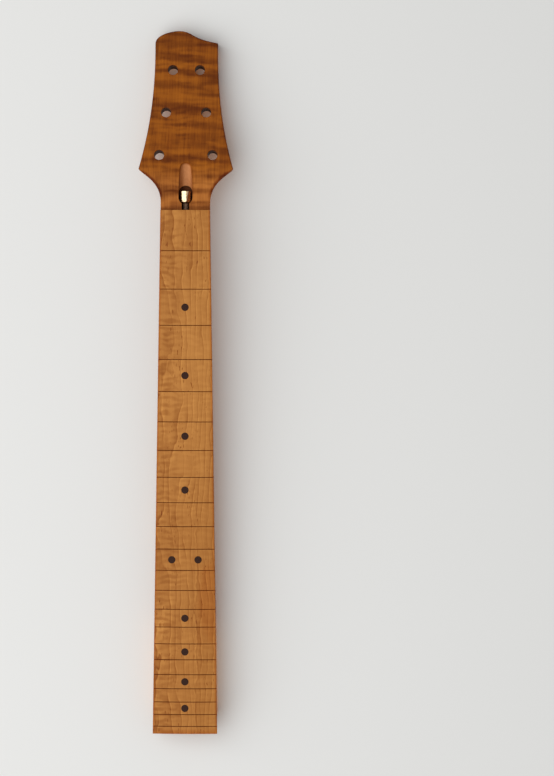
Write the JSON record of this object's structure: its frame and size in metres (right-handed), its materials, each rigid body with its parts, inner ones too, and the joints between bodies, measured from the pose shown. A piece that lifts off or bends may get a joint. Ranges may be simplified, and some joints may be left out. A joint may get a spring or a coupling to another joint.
{
  "type": "electric guitar neck",
  "caption": "Bolt-on electric guitar neck with tilted three-a-side headstock, slotted unfretted fretboard, dot inlays and a two-way truss rod.",
  "frame": {"origin": "centre of the heel's back face, midway between the four screw holes", "axes": "+Y along the neck towards the headstock, +Z from the heel's back face to the fretboard, +X to the treble side"},
  "size_m": [0.0824, 0.6151, 0.0478],
  "materials": {
    "shaft_maple": "roasted flame maple, satin oil",
    "board_maple": "roasted maple, lighter, satin",
    "dot_inlay": "dark brown, sanded flush",
    "rod_steel": "plain drawn steel",
    "nut_brass": "machined"
  },
  "bodies": {
    "neck": {"neck_shaft": "shaft_maple", "fretboard": "board_maple", "face_dot_fret_3": "dot_inlay", "face_dot_fret_5": "dot_inlay", "face_dot_fret_7": "dot_inlay", "face_dot_fret_9": "dot_inlay", "face_dot_fret_15": "dot_inlay", "face_dot_fret_17": "dot_inlay", "face_dot_fret_19": "dot_inlay", "face_dot_fret_21": "dot_inlay", "face_dot_fret_12_bass": "dot_inlay", "face_dot_fret_12_treble": "dot_inlay", "side_dot_fret_3": "dot_inlay", "side_dot_fret_5": "dot_inlay", "side_dot_fret_7": "dot_inlay", "side_dot_fret_9": "dot_inlay", "side_dot_fret_15": "dot_inlay", "side_dot_fret_17": "dot_inlay", "side_dot_fret_19": "dot_inlay", "side_dot_fret_21": "dot_inlay", "side_dot_fret_12_near_nut": "dot_inlay", "side_dot_fret_12_near_heel": "dot_inlay", "truss_rod_front_block": "rod_steel", "truss_rod_rear_block": "rod_steel", "truss_rod_top_bar": "rod_steel"},
    "truss_rod": {"truss_rod_nut": "nut_brass", "truss_rod_adjusting_rod": "rod_steel"}
  },
  "joints": [
    {"name": "truss_rod_turn", "type": "hinge", "parent": "neck", "child": "truss_rod", "pos_m": [0, 0.41991, 0.01225], "axis": [0, 1, 0], "range_deg": [-360, 360]}
  ]
}
